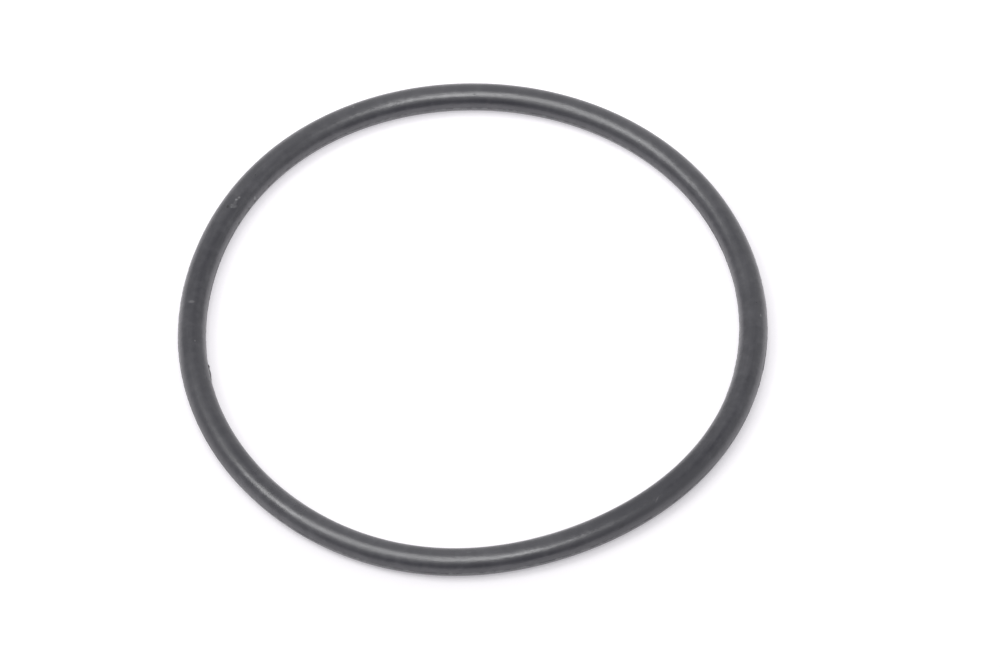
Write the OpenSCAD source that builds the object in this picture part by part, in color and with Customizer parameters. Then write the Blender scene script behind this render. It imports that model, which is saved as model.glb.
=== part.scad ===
// Rubber o-ring: a seal moulded in one piece, round in section all the way round.
// The ring lies on its side, as it rests on a bench. The origin is on the surface that it lies on,
// at the middle of the ring, and +Z is the ring's own axis.

/* [Ring] */
// Diameter of the hole, between the innermost points of the round section
inside_d = 50.47; // [30:0.01:120]
// Thickness of the ring's round section
section_d = 2.62; // [1.78:0.01:5.33]

/* [Parting line] */
// Height of the trimmed line that the mould's joint leaves, inside and outside the ring
line_h = 0.12; // [0.05:0.01:0.2]
// How far the trimmed line stands out of the round section
line_proud = 0.05; // [0.02:0.01:0.1]

/* [Hidden] */

// Radius of the circle that the middle of the section follows
ring_r = (inside_d + section_d) / 2;
// Facets of a quick view, round the section and round the ring
section_facets = 72;
ring_facets = 240;

// The mould's round cavity, with the line where its two halves met on the ring's middle plane
module moulded_section() {
    circle(d = section_d, $fn = section_facets);
    square([section_d + 2 * line_proud, line_h], center = true);
}

// The whole ring: the section swept round the axis, lying on z = 0
module o_ring() {
    color([0.045, 0.046, 0.05])
        translate([0, 0, section_d / 2])
            rotate_extrude($fn = ring_facets)
                translate([ring_r, 0])
                    moulded_section();
}

o_ring();
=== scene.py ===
"""Dress one rubber o-ring: a thin black sealing ring that lies flat on a white table.

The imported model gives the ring's size and place. The ring itself is modelled again here as it looks
when it is relaxed: a little out of round, with the ragged line that its mould left, grain, dust and
scuffs. Lengths are in metres, angles in degrees unless a name says otherwise.
"""

import logging
import math
from dataclasses import dataclass, field
from enum import Enum
from typing import Mapping, Optional, Sequence, Union

import bmesh
import bpy
from mathutils import Matrix, Vector, noise


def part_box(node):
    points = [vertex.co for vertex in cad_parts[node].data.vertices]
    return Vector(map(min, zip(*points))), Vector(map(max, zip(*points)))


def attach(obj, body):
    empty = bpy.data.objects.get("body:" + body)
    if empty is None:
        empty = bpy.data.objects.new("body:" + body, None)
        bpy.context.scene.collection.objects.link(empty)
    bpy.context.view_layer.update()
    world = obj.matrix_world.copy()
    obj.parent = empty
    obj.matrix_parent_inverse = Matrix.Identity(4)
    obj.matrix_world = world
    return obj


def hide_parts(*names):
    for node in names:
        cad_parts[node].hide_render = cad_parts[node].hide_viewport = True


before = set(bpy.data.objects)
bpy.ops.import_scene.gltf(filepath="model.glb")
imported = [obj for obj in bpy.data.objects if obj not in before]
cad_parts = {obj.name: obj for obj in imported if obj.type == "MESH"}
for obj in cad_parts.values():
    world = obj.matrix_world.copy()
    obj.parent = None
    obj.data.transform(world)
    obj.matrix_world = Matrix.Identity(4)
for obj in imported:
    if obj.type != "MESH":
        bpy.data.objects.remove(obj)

log = logging.getLogger("o_ring")

MM = 0.001
NODE = "o_ring"
LINE_PROUD = 0.05 * MM
NOISE_MEAN = 0.5
Colour = tuple[float, float, float]
WHITE: Colour = (1.0, 1.0, 1.0)


class Tone(Enum):
    """What a mark does to the black rubber."""

    PALE = "pale"
    DARK = "dark"


class Side(Enum):
    """A side of the ring's section, as its direction away from the ring's axis."""

    INSIDE = -1
    OUTSIDE = 1


class Wire:
    """One value in a shader. Python's own operators on it add Math nodes."""

    def __init__(self, graph: "Graph", socket: bpy.types.NodeSocket) -> None:
        """Hold a node's output socket.

        Args:
            graph: The shader that the socket belongs to.
            socket: The output socket.
        """
        self.graph = graph
        self.socket = socket

    def maths(self, operation: str, first: "Feed", second: "Feed" = 0.0) -> "Wire":
        """Add one Math node.

        Args:
            operation: The node's operation.
            first: Its first value.
            second: Its second value, for an operation that takes two.

        Returns:
            The node's result.
        """
        return self.graph.add("ShaderNodeMath", {"operation": operation}, {0: first, 1: second})["Value"]

    def __add__(self, other: "Feed") -> "Wire":
        """Return this value plus another."""
        return self.maths("ADD", self, other)

    def __radd__(self, other: "Feed") -> "Wire":
        """Return another value plus this one."""
        return self.maths("ADD", other, self)

    def __sub__(self, other: "Feed") -> "Wire":
        """Return this value less another."""
        return self.maths("SUBTRACT", self, other)

    def __rsub__(self, other: "Feed") -> "Wire":
        """Return another value less this one."""
        return self.maths("SUBTRACT", other, self)

    def __mul__(self, other: "Feed") -> "Wire":
        """Return this value times another."""
        return self.maths("MULTIPLY", self, other)

    def __rmul__(self, other: "Feed") -> "Wire":
        """Return another value times this one."""
        return self.maths("MULTIPLY", other, self)

    def __truediv__(self, other: "Feed") -> "Wire":
        """Return this value divided by another."""
        return self.maths("DIVIDE", self, other)

    def __abs__(self) -> "Wire":
        """Return this value without its sign."""
        return self.maths("ABSOLUTE", self)

    def root(self) -> "Wire":
        """Return this value's square root."""
        return self.maths("SQRT", self)

    def greater(self, other: "Feed") -> "Wire":
        """Return the larger of this value and another."""
        return self.maths("MAXIMUM", self, other)

    def fade(self, low: float, high: float, at_low: float = 0.0, at_high: float = 1.0) -> "Wire":
        """Ease from one value to another as this one passes a range.

        Args:
            low: Where the change starts.
            high: Where it ends.
            at_low: The result at the start and before it.
            at_high: The result at the end and past it.

        Returns:
            The eased value.
        """
        settings = {"interpolation_type": "SMOOTHSTEP"}
        inputs = {"Value": self, "From Min": low, "From Max": high, "To Min": at_low, "To Max": at_high}
        return self.graph.add("ShaderNodeMapRange", settings, inputs)["Result"]


Value = Union[Wire, float]
Feed = Union[Value, Sequence[float]]


class Step:
    """One node of a shader, whose outputs are taken by name."""

    def __init__(self, graph: "Graph", node: bpy.types.Node) -> None:
        """Hold a node.

        Args:
            graph: The shader that the node belongs to.
            node: The node.
        """
        self.graph = graph
        self.node = node

    def __getitem__(self, output: Union[int, str]) -> Wire:
        """Return the output of that name or number."""
        return Wire(self.graph, self.node.outputs[output])


class Graph:
    """A shader's nodes, all added by one method."""

    def __init__(self, tree: bpy.types.NodeTree) -> None:
        """Start from an empty tree.

        Args:
            tree: The node tree of a material or a world.
        """
        self.tree = tree
        tree.nodes.clear()

    def add(
        self,
        kind: str,
        settings: Optional[Mapping[str, object]] = None,
        inputs: Optional[Mapping[Union[int, str], Feed]] = None,
    ) -> Step:
        """Add a node, set it up and feed its inputs.

        Args:
            kind: Blender's name for the node's type.
            settings: The node's own settings, set first.
            inputs: A number, colour or wire for each socket, by name or number.

        Returns:
            The node.
        """
        node = self.tree.nodes.new(kind)
        for name, value in (settings or {}).items():
            setattr(node, name, value)
        for name, value in (inputs or {}).items():
            if isinstance(value, Wire):
                self.tree.links.new(value.socket, node.inputs[name])
            else:
                node.inputs[name].default_value = value
        return Step(self, node)

    def tint(self, share: Feed, first: Feed, second: Feed) -> Wire:
        """Mix two colours.

        Args:
            share: How much of the second colour, from 0 to 1.
            first: The colour at 0.
            second: The colour at 1.

        Returns:
            The mixed colour.
        """
        mix_socket, first_socket, second_socket, result = 0, 6, 7, 2
        settings = {"data_type": "RGBA"}
        inputs = {mix_socket: share, first_socket: opaque(first), second_socket: opaque(second)}
        return self.add("ShaderNodeMix", settings, inputs)[result]

    def blend(self, share: Feed, first: Wire, second: Wire) -> Wire:
        """Mix two shaders.

        Args:
            share: How much of the second shader, from 0 to 1.
            first: The shader at 0.
            second: The shader at 1.

        Returns:
            The mixed shader.
        """
        return self.add("ShaderNodeMixShader", inputs={"Fac": share, 1: first, 2: second})["Shader"]

    def grain(self, place: Wire, cell: float, detail: float = 2.0, rough: float = 0.5) -> Wire:
        """Add a plain noise pattern.

        Args:
            place: The coordinates that it reads.
            cell: The size of one of its cells.
            detail: How many finer layers it has.
            rough: How strong the finer layers are.

        Returns:
            The noise, around 0.5.
        """
        inputs = {"Vector": place, "Scale": 1 / cell, "Detail": detail, "Roughness": rough}
        return self.add("ShaderNodeTexNoise", inputs=inputs)["Fac"]


def opaque(colour: Feed) -> Feed:
    """Return a colour with its alpha, or a wire as it is."""
    return colour if isinstance(colour, Wire) else (*colour, 1.0)


@dataclass(frozen=True)
class Lobe:
    """One way in which the relaxed ring leaves the true circle.

    Args:
        count: How many times the radius rises and falls round the ring.
        height: How far it rises above the mean.
        turn: Where its first high place is, times its count.
    """

    count: int
    height: float
    turn: float


@dataclass(frozen=True)
class RingSize:
    """The ring's real size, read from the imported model, and its relaxed shape.

    Args:
        ring_r: Radius of the circle that the middle of the section follows.
        section_r: Radius of the round section.
        line_proud: How far the parting line stands out of the section.
        lobes: How the relaxed ring leaves that circle.
    """

    ring_r: float
    section_r: float
    line_proud: float
    lobes: tuple[Lobe, ...] = ()

    @classmethod
    def from_frame(cls, node: str, line_proud: float, lobes: tuple[Lobe, ...]) -> "RingSize":
        """Work the size out from the node's box.

        Args:
            node: The ring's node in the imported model.
            line_proud: How far the parting line stands out, on each side of the ring.
            lobes: How the relaxed ring leaves the true circle.

        Returns:
            The ring's size.
        """
        low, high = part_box(node)
        section_r = (high.z - low.z) / 2
        outer_r = (high.x - low.x) / 2 - line_proud
        return cls(outer_r - section_r, section_r, line_proud, lobes)

    def wander(self, turn: float) -> float:
        """Return how far the relaxed ring leaves its circle at an angle in radians."""
        return sum(
            lobe.height * math.cos(lobe.count * turn - math.radians(lobe.turn)) for lobe in self.lobes
        )

    def on_skin(self, turn: float, tilt: float) -> tuple[Vector, Matrix]:
        """Find a place on the relaxed ring's round skin.

        Args:
            turn: Angle round the ring, from +X towards +Y.
            tilt: Angle round the section, from its outermost point over its top.

        Returns:
            The point, and the axes there as a matrix of columns: along the ring, round the section
            and out of the skin.
        """
        turn_r, tilt_r = math.radians(turn), math.radians(tilt)
        away = Vector((math.cos(turn_r), math.sin(turn_r), 0))
        out = away * math.cos(tilt_r) + Vector((0, 0, math.sin(tilt_r)))
        along = Vector((-math.sin(turn_r), math.cos(turn_r), 0))
        middle = away * (self.ring_r + self.wander(turn_r)) + Vector((0, 0, self.section_r))
        point = middle + out * self.section_r
        return point, Matrix((along, out.cross(along), out)).transposed()


@dataclass(frozen=True)
class PaintedToplight:
    """A stretch of the ring whose top is painted paler, as painted light.

    Args:
        turn: Where its middle is round the ring.
        spread: How far it reaches to each side.
        strength: How much it adds at its middle, from 0 to 1.
    """

    turn: float
    spread: float
    strength: float


@dataclass(frozen=True)
class Stretch:
    """A stretch of the ring whose skin is a little duller or glossier than the rest, with painted shade
    where bloom is taken off.

    Args:
        turn: Where its middle is round the ring.
        spread: How far it reaches to each side.
        rough: How much it adds to the roughness.
        clean: How much of the bloom is taken off it, as painted shade, from 0 to 1.
    """

    turn: float
    spread: float
    rough: float = 0.0
    clean: float = 0.0


@dataclass(frozen=True)
class ScuffOrPaintedLight:
    """A mark on the ring's skin: rubbed, dusty or dented, or a pale painted glint or painted reflection.

    Args:
        turn: Where it is round the ring.
        tilt: Where it is round the section.
        length: Its length, before it is leaned.
        width: Its width.
        lean: How far its length turns away from the ring's own direction.
        strength: How plain it is, from 0 to 1.
        tone: Whether it is paler or darker than the rubber.
    """

    turn: float
    tilt: float
    length: float
    width: float
    lean: float
    strength: float
    tone: Tone = Tone.PALE


@dataclass(frozen=True)
class Patterns:
    """The patterns on the rubber's skin, each one a value of its shader.

    Args:
        fine: The grain, around 0.5.
        cloud: Broad clouds, around 0.5.
        wave: Small waves, around 0.5.
        swell: Long swells, around 0.5.
        streak: Flow lines along the ring, around 0.5.
        line: 1 on the parting line and 0 away from it.
        specks: How plain the dust specks are.
        dirt_and_painted_light: How plain the specks and the pale marks are, painted glints and painted
            reflections among them.
        dark: How plain the dark marks are.
        painted_toplight_share: How much painted light is laid on the top.
        duller: What is added to the roughness.
        painted_shade_share: How much of the bloom is taken off, as painted shade.
    """

    fine: Wire
    cloud: Wire
    wave: Wire
    swell: Wire
    streak: Wire
    line: Wire
    specks: Wire
    dirt_and_painted_light: Wire
    dark: Wire
    painted_toplight_share: Value
    duller: Value
    painted_shade_share: Value


@dataclass(frozen=True)
class RubberFinish:
    """Black moulded rubber: satin, with a fine grain, a faint bloom, a few dust specks and scuffs, and
    some painted light and shade.

    Args:
        size: The ring's size.
        black: The bare rubber's colour.
        bloom: The colour of the bloom that comes out of the rubber.
        dust_and_painted_light: The colour of dust and of skin that is rubbed pale, and of the painted
            light on the ring's top and the painted glints and reflections.
        painted_pit_shade: The painted shade inside a pit.
        roughness: How dull the skin is.
        uneven_roughness: How much the clouds, and the grain, change that.
        line_roughness: How much duller the parting line is.
        dirt_roughness: How much duller a speck or a pale mark is.
        pit_roughness: How much duller a dark mark is.
        gloss_index: The skin's index of refraction.
        gloss_level: How strong its reflections are, where 0.5 is what the index gives.
        sheen: How much of a soft glow the skin has where it turns away.
        sheen_roughness: How wide that glow is.
        grain_size: The size of the grain.
        grain_depth: The height of one unit of relief.
        wave_size: The size of the small waves.
        swell_size: The size of the long swells.
        cloud_size: The size of the clouds of bloom.
        streak_length: The length of the flow lines.
        streak_width: Their width.
        line_height: The height of the parting line.
        warp: How far the edges of the marks are bent.
        hollow_share: How much of a dark mark's shader is a matte, nearly black one: painted shade for a
            pit that catches no light.
        scuffs_and_painted_light: The marks, with a few pale painted glints and painted reflections among
            them.
        painted_toplights: Where the ring's top is painted paler, as painted light.
        stretches: Where the gloss differs, and where painted shade takes bloom off.
    """

    size: RingSize
    black: Colour = (0.0067, 0.0064, 0.0146)
    bloom: Colour = (0.034, 0.0333, 0.043)
    dust_and_painted_light: Colour = (0.22, 0.22, 0.23)
    painted_pit_shade: Colour = (0.002, 0.002, 0.003)
    roughness: float = 0.34
    uneven_roughness: float = 0.08
    line_roughness: float = 0.2
    dirt_roughness: float = 0.2
    pit_roughness: float = 0.4
    gloss_index: float = 1.55
    gloss_level: float = 1.0
    sheen: float = 0.16
    sheen_roughness: float = 0.35
    grain_size: float = 0.11 * MM
    grain_depth: float = 0.004 * MM
    wave_size: float = 0.7 * MM
    swell_size: float = 3.2 * MM
    cloud_size: float = 2.2 * MM
    streak_length: float = 3.0 * MM
    streak_width: float = 0.16 * MM
    line_height: float = 0.12 * MM
    warp: float = 0.10 * MM
    hollow_share: float = 0.5
    scuffs_and_painted_light: tuple[ScuffOrPaintedLight, ...] = ()
    painted_toplights: tuple[PaintedToplight, ...] = ()
    stretches: tuple[Stretch, ...] = ()

    def material(self) -> bpy.types.Material:
        """Build the material.

        Returns:
            The rubber material.
        """
        made = bpy.data.materials.new("black_rubber")
        made.use_nodes = True
        graph = Graph(made.node_tree)
        skin = self.patterns(graph)
        bump = {"Distance": self.grain_depth, "Height": self.relief(skin)}
        rubber = {
            "Base Color": self.colour(graph, skin),
            "Roughness": self.dullness(skin),
            "IOR": self.gloss_index,
            "Specular IOR Level": self.gloss_level,
            "Sheen Weight": self.sheen,
            "Sheen Roughness": self.sheen_roughness,
            "Normal": graph.add("ShaderNodeBump", inputs=bump)["Normal"],
        }
        # The dark marks are dents and dull spots; this matte, nearly black shader in them is painted
        # shade.
        matte = {"Base Color": opaque(self.painted_pit_shade), "Roughness": 0.9, "Specular IOR Level": 0.2}
        outer = graph.add("ShaderNodeBsdfPrincipled", inputs=rubber)["BSDF"]
        hollow = graph.add("ShaderNodeBsdfPrincipled", inputs=matte)["BSDF"]
        mixed = graph.blend(skin.dark * self.hollow_share, outer, hollow)
        graph.add("ShaderNodeOutputMaterial", inputs={"Surface": mixed})
        return made

    def patterns(self, graph: Graph) -> Patterns:
        """Draw the patterns of the skin.

        Args:
            graph: The material's shader.

        Returns:
            The patterns.
        """
        place = graph.add("ShaderNodeTexCoord")["Object"]
        axes = graph.add("ShaderNodeSeparateXYZ", inputs={"Vector": place})
        radius = (axes["X"] * axes["X"] + axes["Y"] * axes["Y"]).root()
        height = axes["Z"] - self.size.section_r
        wave = graph.grain(place, self.wave_size)
        specks = self.specks(graph, place)
        bent = self.bent(graph, place)
        duller, painted_shade_share = self.uneven(axes, radius, wave)
        on_line, off_line = 0.4 * self.line_height, 0.9 * self.line_height
        return Patterns(
            fine=graph.grain(place, self.grain_size, detail=3.0, rough=0.6),
            cloud=graph.grain(place, self.cloud_size, detail=3.0, rough=0.55),
            wave=wave,
            swell=graph.grain(place, self.swell_size, detail=1.0),
            streak=self.streaks(graph, axes, radius, height),
            line=abs(height).fade(on_line, off_line, 1.0, 0.0),
            specks=specks,
            dirt_and_painted_light=specks.greater(self.marks(graph, bent, Tone.PALE)),
            dark=self.marks(graph, bent, Tone.DARK),
            painted_toplight_share=self.painted_toplight_share(axes, radius, height),
            duller=duller,
            painted_shade_share=painted_shade_share,
        )

    def colour(self, graph: Graph, skin: Patterns) -> Wire:
        """Lay the skin's colours over each other, from the bare rubber to the pits.

        Args:
            graph: The material's shader.
            skin: The skin's patterns.

        Returns:
            The colour.
        """
        in_clouds, in_streaks, in_waves = 0.45, 0.2, 0.35
        bloom = (
            skin.cloud.fade(low=0.4, high=0.7) * in_clouds
            + skin.streak.fade(low=0.45, high=0.7) * in_streaks
            + skin.wave.fade(low=0.45, high=0.65) * in_waves
        )
        line_in_waves, line_in_grain = 0.3, 0.1
        line_dust = (
            skin.wave.fade(low=0.4, high=0.6) * line_in_waves
            + skin.fine.fade(low=0.35, high=0.6) * line_in_grain
        )
        # Painted shade: some stretches lose bloom, so the rubber is darker there.
        colour = graph.tint(bloom * (1.0 - skin.painted_shade_share), self.black, self.bloom)
        # Painted light: the top of some stretches is made paler.
        colour = graph.tint(skin.painted_toplight_share, colour, self.dust_and_painted_light)
        colour = graph.tint(skin.line * line_dust, colour, self.dust_and_painted_light)
        # Dust specks and pale marks; a few pale marks are painted glints and painted reflections.
        colour = graph.tint(skin.dirt_and_painted_light, colour, self.dust_and_painted_light)
        # Painted shade inside the dark marks' pits.
        return graph.tint(skin.dark, colour, self.painted_pit_shade)

    def dullness(self, skin: Patterns) -> Wire:
        """Work out how dull each place is.

        Args:
            skin: The skin's patterns.

        Returns:
            The roughness.
        """
        uneven = self.uneven_roughness
        rough = self.roughness + (skin.cloud - NOISE_MEAN) * uneven + (skin.fine - NOISE_MEAN) * uneven
        rough = rough + skin.duller + skin.line * self.line_roughness
        return rough + skin.dirt_and_painted_light * self.dirt_roughness + skin.dark * self.pit_roughness

    def relief(self, skin: Patterns) -> Wire:
        """Add up the skin's heights.

        Args:
            skin: The skin's patterns.

        Returns:
            The height, where 1 is the grain's depth.
        """
        grain, waves, swells, specks, pits = 2.0, 6.0, 18.0, 2.0, 6.0
        rolling = skin.fine * grain + skin.streak + skin.wave * waves + skin.swell * swells
        return rolling + skin.specks * specks - skin.dark * pits

    def streaks(self, graph: Graph, axes: Step, radius: Wire, height: Wire) -> Wire:
        """Draw faint flow lines that run along the ring.

        Args:
            graph: The material's shader.
            axes: The place's X, Y and Z.
            radius: The distance from the ring's axis.
            height: The height above the ring's middle plane.

        Returns:
            The streaks, around 0.5.
        """
        along = self.size.ring_r / self.streak_length
        across = 1 / self.streak_width
        inputs = {
            "X": axes["X"] / radius * along,
            "Y": axes["Y"] / radius * along,
            "Z": (radius - self.size.ring_r) * across,
        }
        swept = graph.add("ShaderNodeCombineXYZ", inputs=inputs)["Vector"]
        noise_inputs = {"Vector": swept, "W": height * across, "Scale": 1.0, "Detail": 2.0}
        return graph.add("ShaderNodeTexNoise", {"noise_dimensions": "4D"}, noise_inputs)["Fac"]

    def specks(self, graph: Graph, place: Wire) -> Wire:
        """Scatter a few dust specks.

        Args:
            graph: The material's shader.
            place: The coordinates on the piece.

        Returns:
            How plain the specks are, from 0 to 1.
        """
        cell, bare_share, faint_share, radius, strength = 0.9 * MM, 0.955, 0.01, 0.035, 0.6
        cells = graph.add("ShaderNodeTexVoronoi", inputs={"Vector": place, "Scale": 1 / cell})
        chance = graph.add("ShaderNodeSeparateXYZ", inputs={"Vector": cells["Color"]})["X"]
        chosen = chance.fade(bare_share, bare_share + faint_share)
        return cells["Distance"].fade(radius, 2 * radius, 1.0, 0.0) * chosen * strength

    def painted_toplight_share(self, axes: Step, radius: Wire, height: Wire) -> Value:
        """Paint light on the ring's top, stretch by stretch.

        Args:
            axes: The place's X, Y and Z.
            radius: The distance from the ring's axis.
            height: The height above the ring's middle plane.

        Returns:
            How much painted light each place has, from 0 to 1.
        """
        total: Value = 0.0
        for toplight in self.painted_toplights:
            edge = math.cos(math.radians(toplight.spread))
            total = total + self.facing(axes, radius, toplight.turn).fade(edge, 1.0, 0.0, toplight.strength)
        low, high = 0.6 * self.size.section_r, 0.95 * self.size.section_r
        return total * height.fade(low, high)

    def uneven(self, axes: Step, radius: Wire, wave: Wire) -> tuple[Value, Value]:
        """Draw how the skin's gloss changes round the ring, and where painted shade takes bloom off.

        Args:
            axes: The place's X, Y and Z.
            radius: The distance from the ring's axis.
            wave: The small waves, which make the ends of each stretch uneven.

        Returns:
            What is added to the roughness, and how much of the bloom is taken off as painted shade, from
            0 to 1.
        """
        rough: Value = 0.0
        clean: Value = 0.0
        full_share, raggedness = 0.65, 0.02
        ragged = (wave - NOISE_MEAN) * raggedness
        for stretch in self.stretches:
            edge = math.cos(math.radians(stretch.spread))
            full = math.cos(math.radians(stretch.spread * full_share))
            inside = (self.facing(axes, radius, stretch.turn) + ragged).fade(edge, full)
            rough = rough + inside * stretch.rough
            clean = clean + inside * stretch.clean
        return rough, clean

    def facing(self, axes: Step, radius: Wire, turn: float) -> Wire:
        """Return the cosine of the angle round the ring between each place and a turn."""
        away = math.radians(turn)
        return (axes["X"] * math.cos(away) + axes["Y"] * math.sin(away)) / radius

    def bent(self, graph: Graph, place: Wire) -> Wire:
        """Bend the coordinates a little, so that marks get uneven edges.

        Args:
            graph: The material's shader.
            place: The coordinates on the piece.

        Returns:
            The bent coordinates.
        """
        bends_per_warp = 0.7
        inputs = {"Vector": place, "Scale": bends_per_warp / self.warp}
        uneven = graph.add("ShaderNodeTexNoise", inputs=inputs)["Color"]
        off_mean = {0: uneven, 1: (NOISE_MEAN,) * 3}
        centred = graph.add("ShaderNodeVectorMath", {"operation": "SUBTRACT"}, off_mean)["Vector"]
        moved = {0: centred, 1: (self.warp,) * 3, 2: place}
        return graph.add("ShaderNodeVectorMath", {"operation": "MULTIPLY_ADD"}, moved)["Vector"]

    def marks(self, graph: Graph, place: Wire, tone: Tone) -> Wire:
        """Draw the scuffs of one tone.

        Args:
            graph: The material's shader.
            place: The bent coordinates on the piece.
            tone: The tone to draw.

        Returns:
            How plain the marks are at each place, from 0 to 1.
        """
        patch, depth, thinnest = 0.2 * MM, 0.4 * MM, 0.4
        full_to, gone_at = 0.4, 1.1
        patchy = graph.grain(place, patch).fade(low=0.3, high=0.55, at_low=thinnest)
        total = patchy * 0.0
        for drawn_mark in (each for each in self.scuffs_and_painted_light if each.tone is tone):
            point, turned = self.size.on_skin(drawn_mark.turn, drawn_mark.tilt)
            leaned = turned @ Matrix.Rotation(math.radians(drawn_mark.lean), 3, "Z")
            inputs = {
                "Vector": place,
                "Location": point,
                "Rotation": leaned.to_euler(),
                "Scale": (drawn_mark.length / 2, drawn_mark.width / 2, depth),
            }
            local = graph.add("ShaderNodeMapping", {"vector_type": "TEXTURE"}, inputs)["Vector"]
            reach = graph.add("ShaderNodeVectorMath", {"operation": "LENGTH"}, {0: local})["Value"]
            total = total.greater(reach.fade(full_to, gone_at, drawn_mark.strength, 0.0))
        return total * patchy


@dataclass(frozen=True)
class TableFinish:
    """White table: shaded by the ring close to it, with a painted glow that is a little brighter at the
    back, plain white far off.

    Args:
        white: The colour that lights the ring.
        shown: The part of the shown colour that takes the ring's shade.
        veil: The part of the shown colour that doesn't: a painted glow, which the ring's reflections
            show too.
        rise: How much brighter the painted glow gets towards the back, for each metre.
        lit_to: How far from the ring's middle the shade still shows in full.
        plain_from: How far from it the table is plain white.
    """

    white: Colour = (0.92, 0.92, 0.92)
    shown: Colour = (0.70, 0.69, 0.70)
    veil: Colour = (0.390, 0.380, 0.405)
    rise: float = 6.0
    lit_to: float = 45 * MM
    plain_from: float = 90 * MM

    def material(self) -> bpy.types.Material:
        """Build the material: one look for what shows the table, and plain white for the light.

        Returns:
            The table's material.
        """
        made = bpy.data.materials.new("white_table")
        made.use_nodes = True
        graph = Graph(made.node_tree)
        place = graph.add("ShaderNodeTexCoord")["Object"]
        distance = graph.add("ShaderNodeVectorMath", {"operation": "LENGTH"}, {0: place})["Value"]
        depth = graph.add("ShaderNodeSeparateXYZ", inputs={"Vector": place})["Y"]
        rays = graph.add("ShaderNodeLightPath")
        seen = rays["Is Camera Ray"].greater(rays["Is Glossy Ray"]).greater(rays["Is Transmission Ray"])
        lit = graph.add("ShaderNodeBsdfDiffuse", inputs={"Color": opaque(self.white)})["BSDF"]
        shown = graph.add("ShaderNodeBsdfDiffuse", inputs={"Color": opaque(self.shown)})["BSDF"]
        # Painted light: the veil glows, brighter towards the back, for camera and glossy rays.
        glow = {"Color": opaque(self.veil), "Strength": depth * self.rise + 1.0}
        veil = graph.add("ShaderNodeEmission", inputs=glow)["Emission"]
        veiled = graph.add("ShaderNodeAddShader", inputs={0: shown, 1: veil})["Shader"]
        white = {"Color": opaque(WHITE), "Strength": 1.0}
        plain = graph.add("ShaderNodeEmission", inputs=white)["Emission"]
        near = graph.blend(seen, lit, veiled)
        far = distance.fade(self.lit_to, self.plain_from) * seen
        surface = graph.blend(far, near, plain)
        graph.add("ShaderNodeOutputMaterial", inputs={"Surface": surface})
        return made


@dataclass(frozen=True)
class FlashTag:
    """A stretch where the parting line was trimmed badly and stands out.

    Args:
        side: The side of the section that it is on.
        turn: Where its middle is round the ring.
        length: How far it runs along the ring.
        height: How far it stands out past the trimmed line.
    """

    side: Side
    turn: float
    length: float
    height: float


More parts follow.
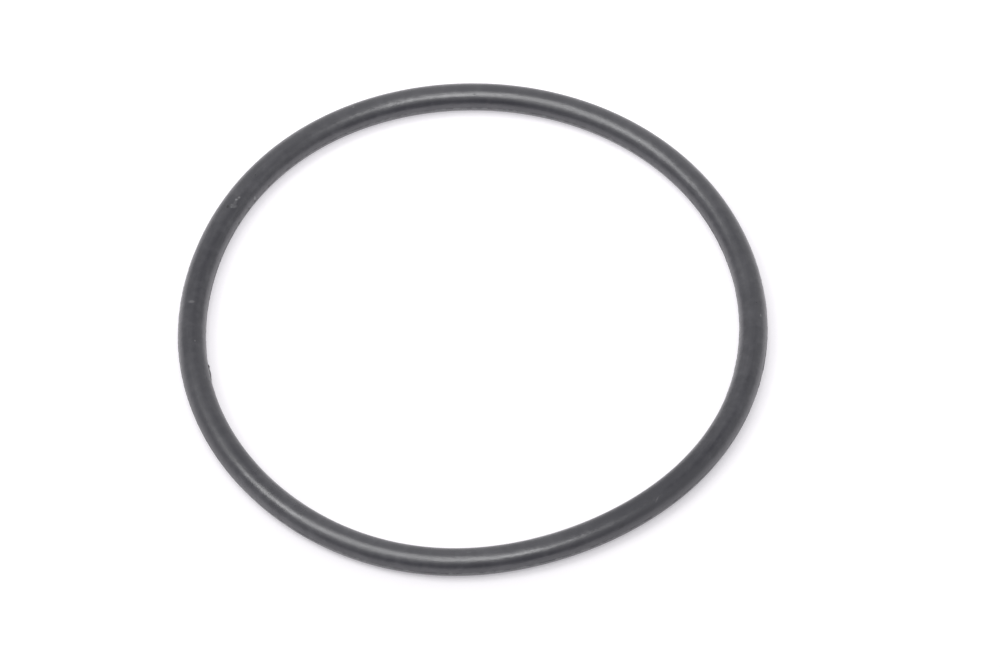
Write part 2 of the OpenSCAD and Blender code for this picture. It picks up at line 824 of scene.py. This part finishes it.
@dataclass
class MouldedRing:
    """The o-ring as one moulding, relaxed a little out of round, with its parting line.

    Args:
        size: The ring's size.
        finish: Its rubber.
        node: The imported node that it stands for.
        name: The name of its object.
        section_steps: How many facets go round the section, before the parting line is cut in.
        ring_steps: How many facets go round the ring.
        sectors: How many like parts the sweep is made of.
        line_height: The height of the parting line at its foot.
        line_flank: How much of that height each of its flanks takes.
        ragged_cell: The size of the chips in the line.
        chip_smoothness: How much fainter each finer layer of chips is.
        chip_step: How much finer each layer is.
        chip_layers: How many layers there are.
        trim_cell: How long the deeper and shallower cuts along the line are.
        chips: How far the chips move the line, as a share of how far it stands out.
        trim: How far the cuts move it, as a share of the same.
        cut_back: How far it is cut back overall, as a share of the same.
        tag_share: How much of its height a tag has in the mean.
        tag_chips: How far the chips change that share.
        uneven_height: How far the section swells and shrinks.
        uneven_cell: How long each swell is.
        tags: Where the line was trimmed badly.
    """

    size: RingSize
    finish: RubberFinish
    node: str = NODE
    name: str = "o_ring_moulding"
    section_steps: int = 60
    ring_steps: int = 1200
    sectors: int = 24
    line_height: float = 0.18 * MM
    line_flank: float = 0.06 * MM
    ragged_cell: float = 0.35 * MM
    chip_smoothness: float = 1.0
    chip_step: float = 2.0
    chip_layers: int = 3
    trim_cell: float = 9.0 * MM
    chips: float = 0.4
    trim: float = 0.8
    cut_back: float = 0.45
    tag_share: float = 0.75
    tag_chips: float = 0.5
    uneven_height: float = 0.004 * MM
    uneven_cell: float = 2.5 * MM
    tags: tuple[FlashTag, ...] = ()

    def build(self) -> bpy.types.Object:
        """Model the ring and give it its finish.

        Returns:
            The ring's object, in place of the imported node.
        """
        bm = bmesh.new()
        self.draw_section(bm)
        self.sweep(bm)
        self.relax(bm)
        mesh = bpy.data.meshes.new(self.name)
        bm.to_mesh(mesh)
        bm.free()
        piece = bpy.data.objects.new(self.name, mesh)
        bpy.context.scene.collection.objects.link(piece)
        mesh.materials.append(self.finish.material())
        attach(piece, "root")
        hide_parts(self.node)
        return piece

    def draw_section(self, bm: bmesh.types.BMesh) -> None:
        """Draw the section: a circle with the parting line's two low ridges, trimmed flat.

        Args:
            bm: The mesh to draw in.
        """
        size = self.size
        bmesh.ops.create_circle(bm, cap_ends=False, segments=self.section_steps, radius=size.section_r)
        bmesh.ops.rotate(bm, verts=bm.verts, cent=(0, 0, 0), matrix=Matrix.Rotation(math.pi / 2, 3, "X"))
        top, foot = self.line_height / 2 - self.line_flank, self.line_height / 2
        for level in (-foot, -top, top, foot):
            bmesh.ops.bisect_plane(
                bm, geom=bm.verts[:] + bm.edges[:], plane_co=(0, 0, level), plane_no=(0, 0, 1), dist=1e-9
            )
        land = size.section_r + size.line_proud
        for vert in bm.verts:
            if abs(vert.co.z) < top + self.line_flank / 2:
                vert.co.x = math.copysign(land, vert.co.x)
        bmesh.ops.translate(bm, verts=bm.verts, vec=(size.ring_r, 0, size.section_r))

    def sweep(self, bm: bmesh.types.BMesh) -> None:
        """Sweep the section round the ring's axis, one sector first and then its copies.

        Args:
            bm: The mesh that holds the section.
        """
        sector = math.tau / self.sectors
        axis = {"cent": (0, 0, 0), "axis": (0, 0, 1)}
        section = bm.verts[:] + bm.edges[:]
        bmesh.ops.spin(bm, geom=section, angle=sector, steps=self.ring_steps // self.sectors, **axis)
        swept = bm.verts[:] + bm.edges[:] + bm.faces[:]
        rest = self.sectors - 1
        bmesh.ops.spin(bm, geom=swept, angle=sector * rest, steps=rest, use_duplicate=True, **axis)
        bmesh.ops.remove_doubles(bm, verts=bm.verts, dist=1e-7)
        bmesh.ops.recalc_face_normals(bm, faces=bm.faces)
        for face in bm.faces:
            face.smooth = True

    def relax(self, bm: bmesh.types.BMesh) -> None:
        """Bend the true ring to its relaxed shape and roughen its parting line.

        Args:
            bm: The ring's mesh.
        """
        size = self.size
        middle = size.section_r
        for vert in bm.verts:
            x, y, z = vert.co
            turn = math.atan2(y, x)
            out = math.hypot(x, y) - size.ring_r
            if abs(z - middle) < self.line_height / 2 - self.line_flank / 2:
                side = Side.OUTSIDE if out > 0 else Side.INSIDE
                out += side.value * self.ragged(vert.co, math.degrees(turn), side)
            swell = self.uneven_height * noise.noise(vert.co / self.uneven_cell)
            out += swell * out / size.section_r
            radius = size.ring_r + out + size.wander(turn)
            vert.co.x, vert.co.y = radius * math.cos(turn), radius * math.sin(turn)

    def ragged(self, point: Vector, turn: float, side: Side) -> float:
        """Find how far the trimmed line stands out at a place, past its plain land.

        Args:
            point: The place on the true ring.
            turn: Its angle round the ring.
            side: The side of the section.

        Returns:
            The extra height of the line there.
        """
        place = point / self.ragged_cell
        chipped = noise.fractal(place, self.chip_smoothness, self.chip_step, self.chip_layers)
        trimmed = noise.noise(point / self.trim_cell)
        extra = self.size.line_proud * (self.chips * chipped + self.trim * trimmed - self.cut_back)
        for tag in self.tags:
            if tag.side is side:
                reach = math.radians(abs((turn - tag.turn + 180) % 360 - 180)) * self.size.ring_r
                rise = max(0.0, 1 - (2 * reach / tag.length) ** 2)
                extra += tag.height * rise * (self.tag_share + self.tag_chips * chipped)
        return extra


@dataclass
class Table:
    """The white table that the ring lies on.

    Args:
        finish: Its finish.
        half_width: Half the length of its sides.
    """

    finish: TableFinish = field(default_factory=TableFinish)
    half_width: float = 4.0

    def build(self) -> bpy.types.Object:
        """Make the table top, level with the ring's underside.

        Returns:
            The table's object.
        """
        bm = bmesh.new()
        bmesh.ops.create_grid(bm, x_segments=1, y_segments=1, size=self.half_width)
        mesh = bpy.data.meshes.new("table")
        bm.to_mesh(mesh)
        bm.free()
        mesh.materials.append(self.finish.material())
        top = bpy.data.objects.new("table", mesh)
        bpy.context.scene.collection.objects.link(top)
        return top


def direction(azimuth: float, elevation: float) -> Vector:
    """Return the way to look for an azimuth, from +X towards +Y, and a height above the horizon."""
    around, up = math.radians(azimuth), math.radians(elevation)
    return Vector((math.cos(up) * math.cos(around), math.cos(up) * math.sin(around), math.sin(up)))


@dataclass(frozen=True)
class SoftBox:
    """A round soft lamp that faces the ring.

    Args:
        name: Its name.
        azimuth: Its direction from the ring, from +X towards +Y.
        elevation: Its height above the horizon.
        width: Its width.
        glow: How bright its face is, where 1 is white.
        distance: How far it is from the ring.
    """

    name: str
    azimuth: float
    elevation: float
    width: float
    glow: float
    distance: float = 3.0

    def build(self) -> bpy.types.Object:
        """Hang the lamp.

        Returns:
            The lamp's object.
        """
        towards = direction(self.azimuth, self.elevation)
        lamp = bpy.data.lights.new(self.name, "AREA")
        lamp.shape = "ELLIPSE"
        lamp.size = self.width
        lamp.size_y = self.width
        face = math.pi / 4 * self.width * self.width
        lamp.energy = self.glow * face * math.pi
        holder = bpy.data.objects.new(self.name, lamp)
        holder.location = towards * self.distance
        holder.rotation_mode = "QUATERNION"
        holder.rotation_quaternion = towards.to_track_quat("Z", "Y")
        holder.visible_camera = False
        bpy.context.scene.collection.objects.link(holder)
        return holder


@dataclass(frozen=True)
class Dim:
    """A direction in which the surround is darker, as where the photographer stands.

    Args:
        azimuth: Its direction from the ring, from +X towards +Y.
        elevation: Its height above the horizon.
        reach: How far it spreads, as an angle.
        share: How much of the surround's light it takes away at its middle.
        core: How much of its reach is fully dim.
    """

    azimuth: float
    elevation: float
    reach: float
    share: float
    core: float = 0.3

    def left(self, graph: Graph, way: Wire) -> Wire:
        """Work out how much of the surround's light is left.

        Args:
            graph: The world's shader.
            way: The direction that is looked in.

        Returns:
            1 outside the dim place, and less in it.
        """
        towards = direction(self.azimuth, self.elevation)
        settings = {"operation": "DOT_PRODUCT"}
        facing = graph.add("ShaderNodeVectorMath", settings, {0: way, 1: towards})["Value"]
        edge = math.cos(math.radians(self.reach))
        full = math.cos(math.radians(self.reach * self.core))
        return facing.fade(edge, full, 1.0, 1.0 - self.share)


@dataclass
class Studio:
    """Plain soft light: a white surround, a little darker in places, and a few soft lamps.

    Args:
        surround: How bright the surround is, where 1 is white.
        dims: Where it is darker.
        lamps: The soft lamps.
    """

    surround: float = 0.67
    dims: tuple[Dim, ...] = (
        Dim(-90, 0, 60, 0.49),
        Dim(20, 65, 25, 0.57),
    )
    lamps: tuple[SoftBox, ...] = (
        SoftBox("front_lamp", -100, 70, 1.0, 3.10),
        SoftBox("front_right_lamp", -70, 70, 1.0, 4.95),
        SoftBox("front_left_lamp", -150, 57, 1.3, 1.50),
        SoftBox("left_lamp", 180, 57, 1.3, 3.91),
        SoftBox("top_lamp", 180, 81, 1.0, 3.84),
        SoftBox("back_lamp", 60, 18, 2.2, 0.18),
    )

    def build(self) -> None:
        """Light the surround and hang the lamps."""
        world = bpy.data.worlds.new("surround")
        bpy.context.scene.world = world
        world.use_nodes = True
        graph = Graph(world.node_tree)
        way = graph.add("ShaderNodeTexCoord")["Generated"]
        seen = graph.add("ShaderNodeLightPath")["Is Camera Ray"]
        strength: Value = self.surround
        for dim in self.dims:
            strength = dim.left(graph, way) * strength
        light = graph.add("ShaderNodeBackground", inputs={"Color": opaque(WHITE), "Strength": strength})
        white = graph.add("ShaderNodeBackground", inputs={"Color": opaque(WHITE), "Strength": 1.0})
        both = graph.blend(seen, light["Background"], white["Background"])
        graph.add("ShaderNodeOutputWorld", inputs={"Surface": both})
        for lamp in self.lamps:
            lamp.build()


@dataclass(frozen=True)
class Camera:
    """The camera, placed as the photograph shows the ring.

    Args:
        size: The ring's size.
        elevation: Its height above the horizon.
        roll: How far it is turned about its own line of sight.
        radii_away: Its distance, in ring radii.
        radius_px: How many pixels the ring's radius spans.
        centre_px: The pixel on which the ring's middle falls.
        picture_px: The picture's width and height.
        sensor: The sensor's width, in millimetres.
    """

    size: RingSize
    elevation: float = 55.84
    roll: float = -2.76
    radii_away: float = 50.0
    radius_px: float = 281.0
    centre_px: tuple[float, float] = (471.0, 326.5)
    picture_px: tuple[float, float] = (1000.0, 667.0)
    sensor: float = 36.0

    def build(self) -> bpy.types.Object:
        """Make the camera and look through it.

        Returns:
            The camera's object.
        """
        tip, roll = math.radians(self.elevation), math.radians(self.roll)
        back = Vector((0, -math.cos(tip), math.sin(tip)))
        level = Vector((1, 0, 0))
        upward = back.cross(level)
        right = level * math.cos(roll) + upward * math.sin(roll)
        up = upward * math.cos(roll) - level * math.sin(roll)
        metres_per_px = self.size.ring_r / self.radius_px
        across = (self.picture_px[0] / 2 - self.centre_px[0]) * metres_per_px
        down = (self.picture_px[1] / 2 - self.centre_px[1]) * metres_per_px
        middle = Vector((0, 0, self.size.section_r))
        spot = middle + right * across - up * down + back * self.radii_away * self.size.ring_r
        data = bpy.data.cameras.new("camera")
        data.sensor_width = self.sensor
        data.lens = self.radii_away * self.radius_px / self.picture_px[0] * self.sensor
        holder = bpy.data.objects.new("camera", data)
        turned = Matrix((right, up, back)).transposed().to_4x4()
        holder.matrix_world = Matrix.Translation(spot) @ turned
        bpy.context.scene.collection.objects.link(holder)
        bpy.context.scene.camera = holder
        return holder


LOBES = (
    Lobe(3, 0.187 * MM, -18),
    Lobe(4, 0.064 * MM, -121),
    Lobe(5, 0.066 * MM, -136),
    Lobe(6, 0.021 * MM, 96),
)
TAGS = (
    FlashTag(Side.INSIDE, 189.2, 1.7 * MM, 0.12 * MM),
    FlashTag(Side.INSIDE, 187.2, 0.42 * MM, 0.20 * MM),
)
# Painted light on the ring's top, stretch by stretch.
PAINTED_TOPLIGHTS = (
    PaintedToplight(5, 45, 0.04),
    PaintedToplight(72, 50, 0.14),
    PaintedToplight(122, 40, 0.09),
    PaintedToplight(258, 45, 0.13),
)
# Gloss that differs round the ring, and painted shade where bloom is taken off.
STRETCHES = (
    Stretch(86, 9, rough=-0.04),
    Stretch(200, 16.5, rough=0.07, clean=0.3),
    Stretch(224, 9, rough=-0.06),
    Stretch(250, 13, rough=0.02),
    Stretch(282, 9, rough=-0.03),
    Stretch(307, 16, rough=0.03, clean=0.9),
)
SCUFFS_AND_PAINTED_LIGHT = (
    ScuffOrPaintedLight(144.65, 103, 0.35 * MM, 0.26 * MM, -16, 0.58),
    ScuffOrPaintedLight(145.35, 98.5, 0.40 * MM, 0.26 * MM, -17, 0.68),
    ScuffOrPaintedLight(146.05, 102, 0.60 * MM, 0.34 * MM, 18, 0.22),
    ScuffOrPaintedLight(146.95, 103.5, 0.80 * MM, 0.54 * MM, -54, 0.26),
    ScuffOrPaintedLight(147.2, 107, 0.74 * MM, 0.24 * MM, -53, 0.27),
    ScuffOrPaintedLight(147.5, 99.5, 0.28 * MM, 0.22 * MM, -56, 0.45),
    ScuffOrPaintedLight(147.0, 94.5, 0.24 * MM, 0.22 * MM, 0, 0.34),
    ScuffOrPaintedLight(147.75, 84, 0.46 * MM, 0.34 * MM, 25, 0.75, Tone.DARK),
    ScuffOrPaintedLight(172.4, 82, 0.72 * MM, 0.36 * MM, 90, 0.34),
    ScuffOrPaintedLight(182.1, 103, 0.19 * MM, 0.16 * MM, 0, 0.6),
    ScuffOrPaintedLight(187.2, 176, 0.56 * MM, 0.70 * MM, 0, 0.65, Tone.DARK),
    ScuffOrPaintedLight(188.7, 172, 0.60 * MM, 0.50 * MM, 0, 0.40),
    ScuffOrPaintedLight(190.0, 165, 0.44 * MM, 0.60 * MM, -26, 0.52),
    ScuffOrPaintedLight(190.6, 168, 0.26 * MM, 0.40 * MM, 0, 0.9, Tone.DARK),
    ScuffOrPaintedLight(191.2, 157, 0.46 * MM, 0.30 * MM, -45, 0.28),
    ScuffOrPaintedLight(192.1, 138, 0.38 * MM, 0.28 * MM, 0, 0.16, Tone.DARK),
    ScuffOrPaintedLight(191.45, 130, 0.44 * MM, 0.24 * MM, -15, 0.22, Tone.DARK),
    ScuffOrPaintedLight(137.15, 176, 0.22 * MM, 0.16 * MM, 0, 1.0, Tone.DARK),
    ScuffOrPaintedLight(141.9, 163, 0.56 * MM, 0.36 * MM, 78, 0.52),
    ScuffOrPaintedLight(142.2, 176, 0.60 * MM, 0.34 * MM, -49, 0.45, Tone.DARK),
    ScuffOrPaintedLight(144.5, 172.5, 0.46 * MM, 0.28 * MM, -49, 0.4, Tone.DARK),
    ScuffOrPaintedLight(148.7, 176, 0.54 * MM, 0.30 * MM, -52, 0.4, Tone.DARK),
    ScuffOrPaintedLight(147.65, 149, 0.32 * MM, 0.19 * MM, -47, 0.15, Tone.DARK),
    ScuffOrPaintedLight(145.0, 139, 0.26 * MM, 0.16 * MM, -45, 0.12, Tone.DARK),
    # Painted reflection: four faint pale patches along the inner rim at the back left stand for the
    # table's reflection there.
    ScuffOrPaintedLight(143.35, 161.5, 0.40 * MM, 0.36 * MM, 0, 0.14),
    ScuffOrPaintedLight(145.55, 161, 0.44 * MM, 0.40 * MM, 0, 0.14),
    ScuffOrPaintedLight(147.25, 159.5, 0.50 * MM, 0.40 * MM, 0, 0.12),
    ScuffOrPaintedLight(149.1, 160.5, 0.44 * MM, 0.40 * MM, 0, 0.12),
    ScuffOrPaintedLight(140.35, 63, 0.16 * MM, 0.12 * MM, 0, 1.0, Tone.DARK),
    ScuffOrPaintedLight(138.2, 93, 0.14 * MM, 0.12 * MM, 0, 0.8, Tone.DARK),
    ScuffOrPaintedLight(128.55, 66, 0.17 * MM, 0.14 * MM, 0, 1.0, Tone.DARK),
    ScuffOrPaintedLight(87.0, 115, 0.34 * MM, 0.26 * MM, 0, 0.24, Tone.DARK),
    # Painted glints: two small pale marks on the back highlight.
    ScuffOrPaintedLight(49.45, 115, 0.26 * MM, 0.20 * MM, 0, 0.9),
    ScuffOrPaintedLight(46.55, 114, 0.30 * MM, 0.11 * MM, 20, 0.5),
    ScuffOrPaintedLight(41.85, 128, 0.19 * MM, 0.14 * MM, 0, 0.4, Tone.DARK),
    ScuffOrPaintedLight(40.2, 92, 0.17 * MM, 0.12 * MM, 0, 0.9, Tone.DARK),
    ScuffOrPaintedLight(357.8, 56, 0.38 * MM, 0.14 * MM, 10, 0.58),
    ScuffOrPaintedLight(0.7, 72, 0.15 * MM, 0.12 * MM, 0, 0.8, Tone.DARK),
    ScuffOrPaintedLight(351.9, 27, 0.16 * MM, 0.13 * MM, 0, 0.9, Tone.DARK),
    ScuffOrPaintedLight(298.85, 39, 1.00 * MM, 0.44 * MM, 15, 0.25, Tone.DARK),
    ScuffOrPaintedLight(307.95, 60, 0.80 * MM, 0.15 * MM, 25, 0.22),
    ScuffOrPaintedLight(267.35, 100, 0.60 * MM, 0.12 * MM, 0, 0.30),
    ScuffOrPaintedLight(112.2, 74, 0.26 * MM, 0.20 * MM, 0, 0.6),
)


def main() -> None:
    """Build the camera, the ring, the table and the light, and report each piece."""
    logging.basicConfig(level=logging.INFO, format="%(message)s")
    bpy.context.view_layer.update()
    bpy.context.scene.view_settings.view_transform = "Standard"
    size = RingSize.from_frame(NODE, LINE_PROUD, LOBES)
    Camera(size).build()
    finish = RubberFinish(size, scuffs_and_painted_light=SCUFFS_AND_PAINTED_LIGHT, painted_toplights=PAINTED_TOPLIGHTS, stretches=STRETCHES)
    ring = MouldedRing(size, finish, tags=TAGS).build()
    log.info("%s: %d faces, on the root body", ring.name, len(ring.data.polygons))
    Table().build()
    Studio().build()
    log.info("table and soft lamps are in place")


if __name__ == "__main__":
    main()
